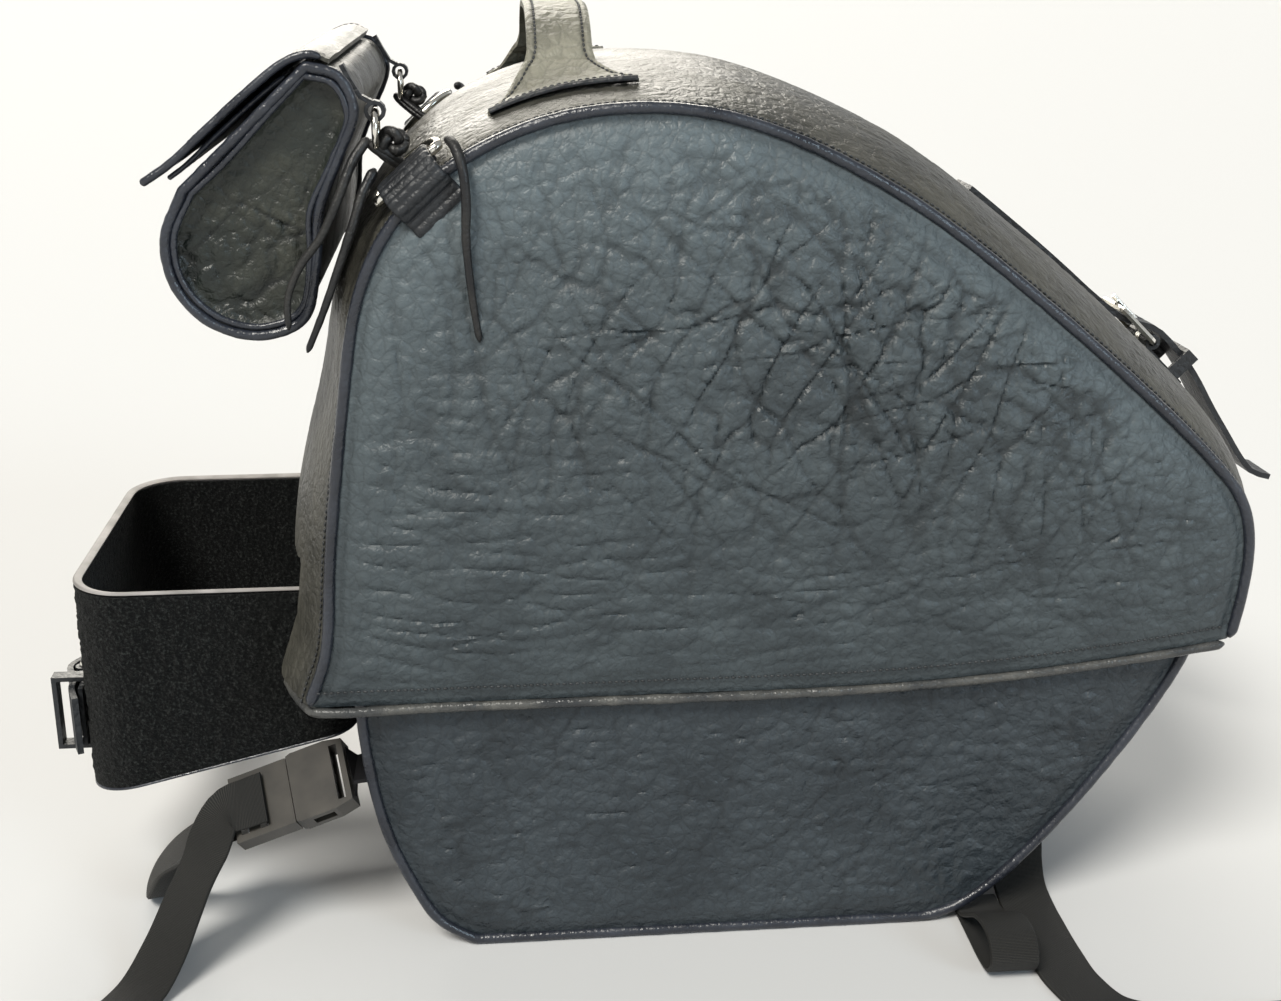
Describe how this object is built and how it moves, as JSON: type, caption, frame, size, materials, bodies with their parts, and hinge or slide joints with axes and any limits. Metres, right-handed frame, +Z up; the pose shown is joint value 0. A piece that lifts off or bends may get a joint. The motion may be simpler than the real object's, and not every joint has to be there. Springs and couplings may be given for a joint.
{
  "type": "motorcycle sissy bar travel bag",
  "caption": "Black leather travel bag with a deep crowned lid, a small laced barrel roll at its front top edge and a wide wrap band that holds it to a passenger backrest.",
  "frame": {"origin": "on the tub's flat base at the bag's mid width, below the middle of the lid's side panel", "axes": "+X to the rear of the motorcycle, +Z up, the bag's left side at -Y"},
  "size_m": [0.6622, 0.4964, 0.4542],
  "materials": {
    "leather": "grained",
    "piping": "satin",
    "top_leather": "grained",
    "loop_fabric": "napped",
    "webbing": "ribbed",
    "buckle_plastic": "satin",
    "nickel": "polished",
    "board": "matte"
  },
  "bodies": {
    "body": {"body_shell": "leather", "body_piping_near": "piping", "body_piping_far": "piping", "base_board": "board", "hinge_strip": "leather", "wrap_band": "loop_fabric", "band_binding_top": "piping", "band_binding_bottom": "piping", "front_panel": "leather", "band_buckle_frame": "nickel", "band_buckle_chape": "leather", "band_keeper": "leather", "band_strap": "leather", "clip_socket_near": "buckle_plastic", "clip_socket_far": "buckle_plastic", "strap_root_near": "webbing", "strap_root_far": "webbing", "rear_loop_near": "webbing", "rear_tail_near": "webbing", "rear_tail_far": "webbing"},
    "lid": {"lid_shell": "leather", "lid_piping_near": "piping", "lid_piping_far": "piping", "lid_hem_near": "piping", "lid_hem_far": "piping", "handle_strap": "top_leather", "handle_base_near": "piping", "handle_base_far": "piping", "dring_near": "nickel", "dring_far": "nickel", "dring_tab_near": "leather", "dring_tab_far": "leather", "lid_buckle_frame": "nickel", "lid_buckle_chape": "leather", "lid_keeper": "leather", "lid_strap": "leather", "lace_lid_near": "leather", "lace_lid_far": "leather"},
    "roll": {"roll_shell": "leather", "roll_piping_near": "piping", "roll_piping_far": "piping", "roll_ring_tab_near": "leather", "roll_ring_tab_far": "leather", "roll_ring_near": "nickel", "roll_ring_far": "nickel", "lace_knot_near": "leather", "lace_knot_far": "leather", "lace_end_near": "leather", "lace_gap_near": "leather"},
    "roll_flap": {"roll_flap": "top_leather", "flap_lining": "leather"},
    "lid_tongue": {"lid_buckle_prong": "nickel"},
    "band_tongue": {"band_buckle_prong": "nickel"},
    "plug_near": {"clip_plug_near": "buckle_plastic", "front_strap_near": "webbing", "front_tail_near": "webbing"},
    "plug_far": {"clip_plug_far": "buckle_plastic", "front_tail_far": "webbing"}
  },
  "joints": [
    {"name": "lid_hinge", "type": "hinge", "parent": "body", "child": "lid", "pos_m": [0.226, 0, 0.1545], "axis": [0, 1, 0], "range_deg": [0, 100]},
    {"name": "roll_swing", "type": "hinge", "parent": "lid", "child": "roll", "pos_m": [-0.172, 0, 0.398], "axis": [0, 1, 0], "range_deg": [0, 45]},
    {"name": "roll_flap_hinge", "type": "hinge", "parent": "roll", "child": "roll_flap", "pos_m": [-0.197, 0, 0.433], "axis": [0, 1, 0], "range_deg": [0, 100]},
    {"name": "lid_buckle_tongue", "type": "hinge", "parent": "lid", "child": "lid_tongue", "pos_m": [0.2262, 0, 0.2752], "axis": [0, 1, 0], "range_deg": [0, 45]},
    {"name": "band_buckle_tongue", "type": "hinge", "parent": "body", "child": "band_tongue", "pos_m": [-0.3493, -0.041, 0.104], "axis": [0, 0, 1], "range_deg": [0, 45]},
    {"name": "clip_release_near", "type": "slide", "parent": "body", "child": "plug_near", "axis": [-0.9394, 0, -0.3429], "range_m": [0, 0.024]},
    {"name": "clip_release_far", "type": "slide", "parent": "body", "child": "plug_far", "axis": [-0.9394, 0, -0.3429], "range_m": [0, 0.024]}
  ]
}
